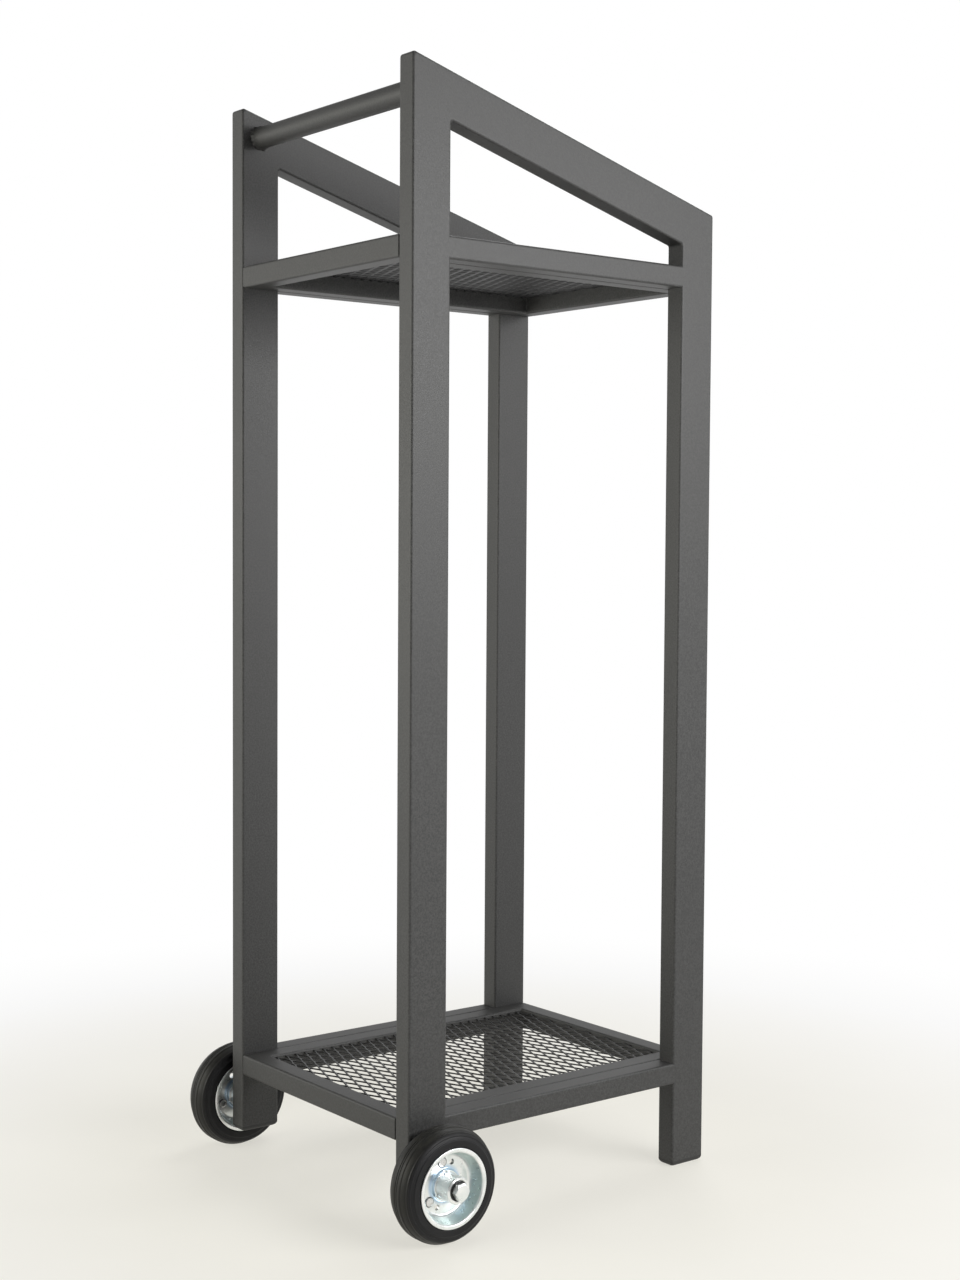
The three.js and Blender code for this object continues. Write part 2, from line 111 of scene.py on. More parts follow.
class CartTubes(bpy.types.PropertyGroup):
    corner: length("Tube corner", "Outer corner radius of the square and flat tubes", 0.0022)
    wall: length("Tube wall", "Wall thickness of the tubes", 0.0015)
    ground: length("Ground corner", "Radius to which the welded mitres are ground", 0.0026)
    shelf_ground: length("Ground shelf corner", "Radius of the shelf frames' ground mitres", 0.0011)
    corner_steps: setting("Corner steps", "Faces round each corner of a tube", 6)
    boss_gap: length("Boss gap", "Space between the axle's boss and its hole in the post", 0.00015)
    bead_height: length("Bead height", "Height of the weld round each end of the handle", 0.0014)
    bead_width: length("Bead width", "Length of that weld along the handle", 0.0020)
    bead_ripples: setting("Bead ripples", "Ripples round one weld", 13)
    plug_rounding: length("Plug rounding", "Rounding of the lower edges of the end plugs", 0.0044)
    plug_insert_gap: length("Plug gap", "Space between a plug's insert and the tube", 0.0002)


class CartSheets(bpy.types.PropertyGroup):
    long_pitch: length("Long pitch", "Pitch of the diamonds across the cart", 0.0302)
    short_pitch: length("Short pitch", "Pitch of the diamonds along the cart", 0.0106)
    strand: length("Strand", "Width of a strand", 0.0024)
    thickness: length("Thickness", "Thickness of a strand", 0.0014)
    tilt: length("Tilt", "How far a strand's edges lie above and below its middle", 0.0005)
    edge: length("Edge", "Rounding of a strand's edges", 0.0003)
    bite: length("Weld bite", "How far the sheet reaches into the shelf frame", 0.0003)
    squareness: setting("Squareness", "Power of the openings' outline, 1 for a sharp one", 1.14, min=1, max=2)


class CartWheels(bpy.types.PropertyGroup):
    tread_width: length("Tread width", "Flat band that runs on the floor", 0.006)
    shoulder: length("Shoulder", "Height of the rounded shoulder", 0.0105)
    ring_step: length("Ring step", "Depth of the bands moulded round the tyre", 0.0006)
    sheet: length("Rim sheet", "Thickness of the pressed rim", 0.0015)
    mouth_radius: length("Mouth radius", "Inner radius of the rim's bright ring", 0.0307)
    web_radius: length("Web radius", "Radius of the rim's flat web", 0.0262)
    neck_height: length("Neck height", "Height of the web's collar round the hub", 0.0054)
    neck_gap: length("Neck gap", "Space between the hub and the collar", 0.0001)
    notch_depth: length("Notch depth", "Depth of the three notches in the collar", 0.0026)
    notch_angle: angle("Notch angle", "Half width of a notch", 8)
    hole: length("Locating hole", "Diameter of the two locating holes", 0.0050)
    rivet_head: length("Rivet head", "Diameter of a rivet's head", 0.0090)
    rivet_shank: length("Rivet shank", "Diameter of a rivet's shank", 0.0050)
    hub_bore: length("Hub bore", "Inner radius of the hub", 0.0088)
    hub_chamfer: length("Hub chamfer", "Chamfer on the hub's outer edges", 0.0007)
    roller_count: setting("Rollers", "Rollers in one bearing", 8)
    roller_radius: length("Roller radius", "Radius of a roller", 0.0013)
    cage_ring: length("Cage ring", "Length of the cage's end rings", 0.0040)
    cage_bar: length("Cage bar", "Width of the bars between the rollers", 0.0011)
    bush_bore: length("Bush bore", "Inner radius of the bush", 0.00415)
    bolt_radius: length("Bolt radius", "Radius of the bolt's shank", 0.0040)
    bolt_flats: length("Bolt flats", "Width of the bolt's head over its flats", 0.0130)
    bolt_head: length("Bolt head", "Height of the bolt's head", 0.0053)
    bolt_chamfer: angle("Bolt chamfer", "Angle of the chamfer on the bolt's head", 30)


class CartFinishes(bpy.types.PropertyGroup):
    coat: colour("Powder coat", "Anthracite of the tubes", (0.041, 0.041, 0.040))
    # The sheets' near-black, darker than the tubes' powder coat, is partly the coat's colour and partly
    # painted shade among the strands.
    sheet_coat: colour("Sheet coat", "Black of the expanded sheets", (0.016, 0.016, 0.017))
    plug: colour("Plug", "Black of the end plugs", (0.026, 0.026, 0.026))
    tyre: colour("Tyre", "Black of the tyres' sides", (0.007, 0.007, 0.008))
    # The tread's lighter, browner colour is partly dust and partly a painted sheen.
    tread: colour("Tread", "Dusty black of the tread", (0.020, 0.0195, 0.016))
    zinc: colour("Zinc", "Blue-white of the zinc plate", (0.94, 0.95, 0.95))
    # Greener, darker zinc: a random tint in faint clouds, and on the rim's drawn wall partly a tint and
    # partly painted shade and reflection.
    zinc_shade: colour("Zinc shade", "Greener parts of the zinc plate", (0.51, 0.62, 0.60))
    # The bluer bend round the collar is painted shade and reflection.
    zinc_bend: colour("Zinc bend", "Bluer bend round the rim's collar", (0.40, 0.58, 0.78))
    steel: colour("Steel", "Turned and riveted steel", (0.70, 0.70, 0.70))
    plastic: colour("Cage plastic", "Black of the bearing cages", (0.012, 0.012, 0.013))


class CartStage(bpy.types.PropertyGroup):
    camera: FloatVectorProperty(name="Camera", description="Place of the camera", subtype="TRANSLATION",
                                default=(1.4298, -1.0926, 0.5922))
    azimuth: angle("Azimuth", "Side that the camera looks from, from -Y towards +X", 51.91)
    elevation: angle("Elevation", "How far the camera looks down", 2.907)
    roll: angle("Roll", "Turn of the camera about its view", 0.353)
    lens: setting("Lens", "Focal length in mm on 36 mm", 53.28)
    floor: colour("Floor", "Pale floor near the cart", (0.84, 0.82, 0.77))
    floor_glow: colour("Floor glow", "Cream of the backdrop's light in the near floor", (1.0, 0.98, 0.90))
    floor_white: setting("Floor white", "Share of the backdrop's white that the camera and polished faces "
                         "see in the floor near the cart", 0.6, min=0, max=1)
    room: setting("Room light", "Strength of the even light", 0.22)
    overhead: setting("Overhead light", "Share of the even light that comes from right above", 0.25)
    camera_side: setting("Camera side", "Share of the backdrop's white that polished and glossy faces see "
                         "behind the camera", 0.12)
    left_colour: colour("Left lamp colour", "Slightly olive light of the left lamp", (1.0, 0.99, 0.90))
    left_lamp: setting("Left lamp", "Power of the lamp behind the wheels", 20.0, unit="POWER")
    right_lamp: setting("Right lamp", "Power of the lamp in front", 32.0, unit="POWER")
    top_lamp: setting("Top lamp", "Power of the lamp overhead", 22.0, unit="POWER")


SETTINGS = {"cart_tubes": CartTubes, "cart_sheets": CartSheets, "cart_wheels": CartWheels,
            "cart_finishes": CartFinishes, "cart_stage": CartStage}


# ---- Outlines and surfaces ----

def crosswise(vectors):
    """Flat vectors turned a quarter turn to the left."""
    return np.stack([-vectors[..., 1], vectors[..., 0]], axis=-1)


def filleted(corners, radius, steps, closed=True, hold=0.0):
    """Rounds the corners of a flat outline.

    At a corner the outline follows an arc that touches both sides: it starts a tangent length before the
    corner, tan(half the turn) times the radius, and turns by the whole turn about its centre. A point held
    just outside each end of the arc keeps the straight sides flat. Returns the points and, for each, the
    number of its corner."""
    corner = np.asarray(corners, float)
    count = len(corner)
    before = corner - np.roll(corner, 1, axis=0)
    after = np.roll(corner, -1, axis=0) - corner
    length_before = np.linalg.norm(before, axis=1)
    length_after = np.linalg.norm(after, axis=1)
    ahead = before / length_before[:, None]
    onward = after / length_after[:, None]
    cross = ahead[:, 0] * onward[:, 1] - ahead[:, 1] * onward[:, 0]
    turn = np.arctan2(cross, np.sum(ahead * onward, axis=1))
    bend = np.maximum(np.abs(np.tan(turn / 2)), 1e-9)
    room = FILLET_ROOM * np.minimum(length_before, length_after) - hold
    tangent = np.minimum(np.broadcast_to(radius, count) * bend, np.maximum(room, 0))
    start = corner - ahead * tangent[:, None]
    arm = -crosswise(ahead) * (np.sign(turn) * tangent / bend)[:, None]
    centre = start - arm
    swing = turn[:, None] * np.linspace(0, 1, steps + 1)[None, :]
    arc = centre[:, None, :] + (arm[:, None, :] * np.cos(swing)[..., None]
                                + crosswise(arm)[:, None, :] * np.sin(swing)[..., None])
    if hold:
        first = start - ahead * hold
        last = corner + onward * (tangent + hold)[:, None]
        arc = np.concatenate([first[:, None], arc, last[:, None]], axis=1)
    number = np.broadcast_to(np.arange(count)[:, None], arc.shape[:2])
    keep = np.ones(arc.shape[:2], bool)
    if not closed:
        arc = arc.copy()
        arc[[0, -1]] = corner[[0, -1], None]
        keep[[0, -1], 1:] = False
    return arc[keep], number[keep]


def rounded_rectangle(width, height, radius, steps):
    """A rectangle about the origin with its corners rounded, as flat points."""
    x, y = width / 2, height / 2
    return filleted([(-x, -y), (x, -y), (x, y), (-x, y)], radius, steps, hold=0.12 * radius)[0]


def mitred_path(corners, radius, steps, closed):
    """A flat path through the corners, each rounded a little, with the side direction at every point.

    The side direction at a corner is the sum of the two sides' normals over one plus their product, which
    is constant round the corner, so that each line of the tube is a rounded mitre."""
    corner = np.asarray(corners, float)
    step = np.roll(corner, -1, axis=0) - corner
    normal = crosswise(step / np.linalg.norm(step, axis=1)[:, None])
    previous = np.roll(normal, 1, axis=0)
    if not closed:
        previous[0] = normal[0]
        normal[-1] = previous[-1]
    spread = (normal + previous) / (1 + np.sum(normal * previous, axis=1))[:, None]
    path, number = filleted(corner, radius, steps, closed, hold=0.2 * radius)
    return path, spread[number]


def carried(profile, path, spread, origin, shift=0):
    """Carries a closed profile along a flat path.

    A point is origin + (path + spread * a, b), where (a, b) is the profile's point and spread is the path's
    side direction, lengthened at a mitre. A shift of 1 lays the path on Y and Z instead of X and Y."""
    flat = path[:, None, :] + spread[:, None, :] * profile[None, :, :1]
    across = np.broadcast_to(profile[None, :, 1:], flat[..., :1].shape)
    return np.asarray(origin, float) + np.roll(np.concatenate([flat, across], axis=-1), shift, axis=-1)


def turned(profile, centre, side=1, steps=SHAFT_STEPS):
    """Turns a profile about an axle along X.

    The profile holds (x, radius) pairs, one row for all angles or one for each; a point is centre +
    (side * x, radius * cos, radius * sin) of its angle."""
    around = np.linspace(0, 2 * np.pi, steps, endpoint=False)[:, None]
    profile = np.broadcast_to(profile, (steps,) + np.shape(profile)[-2:])
    x, radius = profile[..., 0], profile[..., 1]
    points = np.stack([side * x, radius * np.cos(around), radius * np.sin(around)], axis=-1)
    return points + np.asarray(centre, float)


class Skin:
    """Collects grids of points, and the faces between them, for one mesh."""

    def __init__(self):
        self.points = []
        self.faces = []
        self.count = 0

    def grid(self, points, wrap_rows=False, wrap_columns=True):
        """Faces between neighbouring rows and columns of a grid of points. Gives back the points' numbers."""
        points = np.asarray(points, float)
        made = self.count + np.arange(points[..., 0].size).reshape(points.shape[:-1])
        self.points.append(points.reshape(-1, 3))
        self.count += made.size
        numbers = made
        if wrap_rows:
            numbers = np.concatenate([numbers, numbers[..., :1, :]], axis=-2)
        if wrap_columns:
            numbers = np.concatenate([numbers, numbers[..., :1]], axis=-1)
        corners = [numbers[..., :-1, :-1], numbers[..., 1:, :-1], numbers[..., 1:, 1:], numbers[..., :-1, 1:]]
        self.faces += np.stack(corners, axis=-1).reshape(-1, 4).tolist()
        return made

    def capped(self, rings):
        """A grid of rings, with one flat face over the first ring and one over the last."""
        numbers = self.grid(rings)
        self.faces += [numbers[0].tolist(), numbers[-1].tolist()]

    def lathed(self, profile, centre, side=1, steps=SHAFT_STEPS):
        """A turned profile that starts and ends on the axis."""
        self.grid(turned(profile, centre, side, steps).transpose(1, 0, 2))


def looped(points):
    """A skin of one grid that meets itself along its rows and its columns."""
    skin = Skin()
    skin.grid(points, wrap_rows=True)
    return skin


def middle_and_half(node):
    """The middle of a node's box, and half its size along X, Y and Z."""
    low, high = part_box(node)
    return (low + high) / 2, (np.array(high) - np.array(low)) / 2


def tidied(mesh):
    """The mesh with its doubles merged and its faces turned outwards."""
    work = bmesh.new()
    work.from_mesh(mesh)
    bmesh.ops.remove_doubles(work, verts=work.verts, dist=MERGE)
    bmesh.ops.dissolve_degenerate(work, edges=work.edges, dist=MERGE)
    bmesh.ops.recalc_face_normals(work, faces=work.faces)
    work.to_mesh(mesh)
    work.free()
    return mesh


def closed_mesh(name, skin):
    """The skin as one clean mesh."""
    mesh = bpy.data.meshes.new(name)
    mesh.from_pydata(np.concatenate(skin.points).tolist(), [], skin.faces)
    return tidied(mesh)


def placed(name, mesh):
    """An object for a mesh, put in the scene."""
    obj = bpy.data.objects.new(name, mesh)
    bpy.context.scene.collection.objects.link(obj)
    return obj


def drilled(obj, middle, half, radius):
    """Cuts a round hole along X through a piece, given the hole's middle, half its length and its radius."""
    skin = Skin()
    skin.capped(turned([(-half, radius), (half, radius)], middle, steps=HOLE_STEPS).transpose(1, 0, 2))
    drill = placed("drill", closed_mesh("drill", skin))
    modifier = obj.modifiers.new("hole", "BOOLEAN")
    modifier.operation = "DIFFERENCE"
    modifier.solver = "EXACT"
    modifier.object = drill
    evaluated = obj.evaluated_get(bpy.context.evaluated_depsgraph_get())
    cut = bpy.data.meshes.new_from_object(evaluated)
    obj.modifiers.clear()
    obj.data = tidied(cut)
    bpy.data.objects.remove(drill)


def piece(context, name, skin, slot, body, nodes, holes=(), rest=None):
    """Makes a finished piece that rides on a body and stands for its nodes.

    The holes are drilled in the skin before the rest, a second skin, is added to it."""
    obj = placed(name, closed_mesh(name, skin))
    for hole in holes:
        drilled(obj, *hole)
    if rest is not None:
        work = bmesh.new()
        work.from_mesh(obj.data)
        work.from_mesh(closed_mesh("rest", rest))
        work.to_mesh(obj.data)
        work.free()
    mesh = obj.data
    mesh.polygons.foreach_set("use_smooth", np.ones(len(mesh.polygons), bool))
    mesh.set_sharp_from_angle(angle=np.radians(SHARP_DEGREES))
    mesh.materials.clear()
    mesh.materials.append(finish_for(context, slot))
    mesh.update()
    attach(obj, body)
    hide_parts(*nodes)
    return obj


# ---- Finishes ----

def shade_of(base, factor):
    return tuple(min(1.0, channel * factor) for channel in base)


class Nodes:
    """The node tree of a material or a world, with short calls to add nodes and to link them."""

    def __init__(self, owner):
        owner.use_nodes = True
        self.owner = owner
        self.tree = owner.node_tree
        self.shader = self.tree.nodes.get("Principled BSDF")

    def add(self, kind, inputs=None, **settings):
        made = self.tree.nodes.new("ShaderNode" + kind)
        for key, value in settings.items():
            setattr(made, key, value)
        for key, value in (inputs or {}).items():
            self.feed(made.inputs[key], value)
        return made

    def feed(self, socket, value):
        if isinstance(value, bpy.types.NodeSocket):
            self.tree.links.new(value, socket)
        else:
            socket.default_value = value

    def surface(self, **values):
        for key, value in values.items():
            self.feed(self.shader.inputs[key.replace("_", " ")], value)

    def place(self):
        return self.add("TexCoord").outputs["Object"]

    def math(self, operation, first, second):
        return self.add("Math", {0: first, 1: second}, operation=operation).outputs["Value"]

    def noise(self, scale, detail=2.0, vector=None, roughness=0.5):
        source = vector if vector is not None else self.place()
        inputs = {"Vector": source, "Scale": scale, "Detail": detail, "Roughness": roughness}
        return self.add("TexNoise", inputs).outputs["Fac"]

    def spread(self, value, low, high, from_low=0.3, from_high=0.7, **settings):
        """Stretches a value, such as the middle of a noise, to the range from low to high."""
        limits = {"Value": value, "From Min": from_low, "From Max": from_high, "To Min": low, "To Max": high}
        return self.add("MapRange", limits, **settings).outputs["Result"]

    def blend(self, factor, first, second):
        mix = self.add("Mix", data_type="RGBA")
        self.feed(mix.inputs["Factor"], factor)
        for key, value in (("A", first), ("B", second)):
            self.feed(mix.inputs[key], (*value, 1) if isinstance(value, tuple) else value)
        return mix.outputs["Result"]

    def toned(self, factor, base, dark, light):
        """The base colour times a number that runs from dark to light with the factor."""
        return self.blend(factor, shade_of(base, dark), shade_of(base, light))

    def bump(self, height, distance, strength):
        inputs = {"Height": height, "Distance": distance, "Strength": strength}
        return self.add("Bump", inputs).outputs["Normal"]

    def axle_place(self):
        """Distance from the axle line, and that with the place along it as a vector, for turned finishes."""
        middle, _ = middle_and_half("right_tyre")
        centred = self.add("Mapping", {"Vector": self.place(), "Location": (0, -middle.y, -middle.z)})
        parts = self.add("SeparateXYZ", {"Vector": centred.outputs["Vector"]}).outputs
        flat = self.add("CombineXYZ", {"Y": parts["Y"], "Z": parts["Z"]}).outputs["Vector"]
        radius = self.add("VectorMath", {0: flat}, operation="LENGTH").outputs["Value"]
        return radius, self.add("CombineXYZ", {"X": radius, "Y": parts["X"]}).outputs["Vector"]


def coat_finish(nodes, base, rough):
    """Textured powder coat: grain of a millimetre or two in colour, gloss and height, faintly clouded."""
    grain = nodes.noise(scale=620, detail=3, roughness=0.62)
    cloud = nodes.noise(scale=7, detail=3)
    grained = nodes.toned(nodes.spread(grain, 0, 1, 0.36, 0.66), base, dark=0.60, light=1.55)
    clouded = nodes.blend(nodes.spread(cloud, 0, 0.35), grained, shade_of(base, 0.84))
    nodes.surface(Base_Color=clouded, Roughness=nodes.spread(grain, rough - 0.05, rough + 0.10),
                  Normal=nodes.bump(grain, distance=0.22 * MM, strength=0.5))


def plug_finish(nodes, base):
    """Moulded black plastic with a fine spark-eroded grain and a little dust."""
    grain = nodes.noise(scale=1500)
    dust = nodes.noise(scale=60, detail=4)
    dusty = nodes.toned(nodes.spread(dust, 0, 0.5, 0.45, 0.8), base, dark=1, light=1.7)
    nodes.surface(Base_Color=dusty, Roughness=nodes.spread(grain, 0.5, 0.66),
                  Normal=nodes.bump(grain, distance=0.08 * MM, strength=0.5))


def tyre_finish(nodes, side, tread):
    """Solid rubber: black sides, and a tread lighter and browner, partly dust and partly a painted sheen,
    both with fine lines round the axle.
    """
    radius, flat = nodes.axle_place()
    lines = nodes.noise(scale=1300, vector=flat)
    scuff = nodes.noise(scale=160, detail=4)
    # Dust and painted sheen: beyond these radii, in random patches, the tread takes its lighter, browner
    # colour.
    dust_and_sheen = nodes.math("MULTIPLY", nodes.spread(radius, 0, 1, *TREAD_DUST_AND_SHEEN), nodes.spread(scuff, 0.45, 1))
    lined = nodes.toned(nodes.spread(lines, 0, 1), side, dark=0.75, light=1.5)
    nodes.surface(Base_Color=nodes.blend(dust_and_sheen, lined, tread), Roughness=nodes.spread(scuff, 0.40, 0.54),
                  Specular_IOR_Level=0.28, Normal=nodes.bump(lines, distance=0.10 * MM, strength=0.5))


def zinc_finish(nodes, base, shade, painted_bend_blue):
    """Bright zinc plate: faint clouds; greener on the rim's drawn wall, partly a tint and partly painted
    shade and reflection; bluer on the collar's bend, which is painted shade and reflection.
    """
    radius, flat = nodes.axle_place()
    cloud = nodes.spread(nodes.noise(scale=70, detail=3), 0, 0.35, 0.4, 0.7)
    drawn = nodes.noise(scale=1100, vector=flat)
    # Partly a tint, partly painted shade and reflection: between these radii the rim's drawn wall takes the
    # greener, darker colour.
    wall = nodes.math("MULTIPLY", nodes.spread(radius, 0, 0.9, *WALL_FOOT),
                      nodes.spread(radius, 1, 0, *WALL_TOP))
    # Painted shade and reflection: the bend round the collar, between these radii, takes the blue colour.
    bend = nodes.math("MULTIPLY", nodes.spread(radius, 0, 1, *BEND_FOOT),
                      nodes.spread(radius, 0.75, 0, *BEND_TOP))
    clouded_and_wall_shaded = nodes.blend(nodes.math("MAXIMUM", cloud, wall), base, shade)
    nodes.surface(Base_Color=nodes.blend(bend, clouded_and_wall_shaded, painted_bend_blue), Metallic=0.88,
                  Roughness=nodes.spread(nodes.noise(scale=300), 0.27, 0.32),
                  Normal=nodes.bump(drawn, distance=0.02 * MM, strength=0.25))


def steel_finish(nodes, base, rough):
    """Turned steel: fine lines round the axle and an uneven gloss, with painted shade that darkens a rivet
    head's edge.
    """
    _, flat = nodes.axle_place()
    lines = nodes.noise(scale=1600, vector=flat)
    patch = nodes.noise(scale=240)
    toned = nodes.toned(nodes.spread(patch, 0, 1), base, dark=0.9, light=1.12)
    # Painted shade: near the edge of each rivet head, found by its head_edge attribute, the base colour
    # darkens as if in shadow.
    edge = nodes.spread(nodes.add("Attribute", attribute_name=HEAD_EDGE).outputs["Fac"], 0, 0.95, 0.76, 0.88)
    nodes.surface(Base_Color=nodes.blend(edge, toned, shade_of(base, 0.12)), Metallic=0.95,
                  Roughness=nodes.spread(patch, rough - 0.05, rough + 0.07),
                  Normal=nodes.bump(lines, distance=0.05 * MM, strength=0.5))


def cage_finish(nodes, base):
    """Black bearing plastic, glossy where grease lies on it."""
    grease = nodes.noise(scale=300, detail=3)
    toned = nodes.toned(nodes.spread(grease, 0, 1), base, dark=1, light=2.2)
    nodes.surface(Base_Color=toned, Roughness=nodes.spread(grease, 0.25, 0.5),
                  Normal=nodes.bump(grease, distance=0.1 * MM, strength=0.4))


# For each slot of the record: the material's name, its finish, and that finish's colours and roughness.
FINISHES = {
    "powder_coat": ("powder_coat", coat_finish, "coat", 0.50),
    "mesh_coat": ("mesh_coat", coat_finish, "sheet_coat", 0.42),
    "end_plug": ("plug_plastic", plug_finish, "plug"),
    "tyre_rubber": ("tyre_rubber", tyre_finish, "tyre", "tread"),
    "zinc_plate": ("zinc_plate", zinc_finish, "zinc", "zinc_shade", "zinc_bend"),
    "rivet_steel": ("rivet_steel", steel_finish, "steel", 0.26),
    "bush_steel": ("bush_steel", steel_finish, "steel", 0.34),
    "bearing_plastic": ("bearing_plastic", cage_finish, "plastic"),
}
made_finishes = {}


def finish_for(context, slot):
    """The material for a slot, made once."""
    if slot not in made_finishes:
        name, finish, *values = FINISHES[slot]
        tones = context.scene.cart_finishes
        nodes = Nodes(bpy.data.materials.new(name))
        finish(nodes, *(tuple(getattr(tones, value)) if isinstance(value, str) else value
                        for value in values))
        made_finishes[slot] = nodes.owner
    return made_finishes[slot]


# ---- Side frames, shelf frames, handle and plugs ----

class CART_OT_side_frames(bpy.types.Operator):
    """Builds the two side frames: a tube carried up the rear post, along the slope and down the front"""
    bl_idname = "cart.side_frames"
    bl_label = "Side frames"

    def execute(self, context):
        for side_name in SIDES:
            self.build(context, side_name)
        return {"FINISHED"}

    def build(self, context, side_name):
        """The centre line runs half a tube inside the outline that the posts' boxes give."""
        sizes = context.scene.cart_tubes
        rear_low, rear_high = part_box(f"{side_name}_rear_post")
        front_low, front_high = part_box(f"{side_name}_front_post")
        width = rear_high.y - rear_low.y
        thickness = rear_high.x - rear_low.x
        middle_x = (rear_high.x + rear_low.x) / 2
        slope = (rear_high.z - front_high.z) / (front_high.y - rear_low.y)
        below_top = width / 2 * np.hypot(1, slope)
        rear_y, front_y = rear_low.y + width / 2, front_high.y - width / 2
        corners = [(rear_y, rear_low.z), (rear_y, rear_high.z - slope * width / 2 - below_top),
                   (front_y, front_high.z + slope * width / 2 - below_top), (front_y, front_low.z)]
        path, spread = mitred_path(corners, sizes.ground, sizes.corner_steps, closed=False)
        outline = rounded_rectangle(width, thickness, sizes.corner, sizes.corner_steps)
        bore = rounded_rectangle(width - 2 * sizes.wall, thickness - 2 * sizes.wall,
                                 sizes.corner - sizes.wall, sizes.corner_steps)
        outside, inside = (carried(profile, path, spread, (middle_x, 0, 0), shift=1)
                           for profile in (outline, bore))
        skin = looped(np.concatenate([outside, inside[::-1]]))
        axle, boss = middle_and_half(f"{side_name}_axle_boss")
        hole_middle = (middle_x + SIDES[side_name] * thickness / 2, axle.y, axle.z)
        hole = (hole_middle, thickness / 2, boss[2] + sizes.boss_gap)
        nodes = [f"{side_name}_{part}"
                 for part in ("rear_post", "front_post", "top_bar", "upper_rail", "lower_rail")]
        piece(context, f"{side_name}_side_frame", skin, "powder_coat", FRAME_BODY, nodes, [hole],
              self.rails(side_name, sizes))

    def rails(self, side_name, sizes):
        """Each rail runs into the posts' rounded edges, where its weld is ground flush with their faces."""
        skin = Skin()
        for part in ("upper_rail", "lower_rail"):
            low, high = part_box(f"{side_name}_{part}")
            middle = (low + high) / 2
            section = rounded_rectangle(high.x - low.x, high.z - low.z, sizes.corner, sizes.corner_steps)
            skin.capped([np.column_stack([middle.x + section[:, 0], np.full(len(section), y),
                                          middle.z + section[:, 1]])
                         for y in (low.y - sizes.corner, high.y + sizes.corner)])
        return skin


class CART_OT_shelf_frames(bpy.types.Operator):
    """Builds the two shelf frames: a square tube carried round a rectangle, with its mitres ground"""
    bl_idname = "cart.shelf_frames"
    bl_label = "Shelf frames"

    def execute(self, context):
        sizes = context.scene.cart_tubes
        for shelf in SHELVES:
            low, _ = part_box(f"{shelf}_shelf_rear_tube")
            _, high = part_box(f"{shelf}_shelf_front_tube")
            height = high.z - low.z
            inset = height / 2
            x, rear, front = high.x - inset, low.y + inset, high.y - inset
            corners = [(-x, rear), (x, rear), (x, front), (-x, front)]
            path, spread = mitred_path(corners, sizes.shelf_ground, sizes.corner_steps, closed=True)
            outline = rounded_rectangle(height, height, sizes.corner, sizes.corner_steps)
            skin = looped(carried(outline, path, spread, (0, 0, low.z + inset)))
            nodes = [f"{shelf}_shelf_{part}_tube" for part in ("rear", "front", "right", "left")]
            piece(context, f"{shelf}_shelf_frame", skin, "powder_coat", FRAME_BODY, nodes)
        return {"FINISHED"}


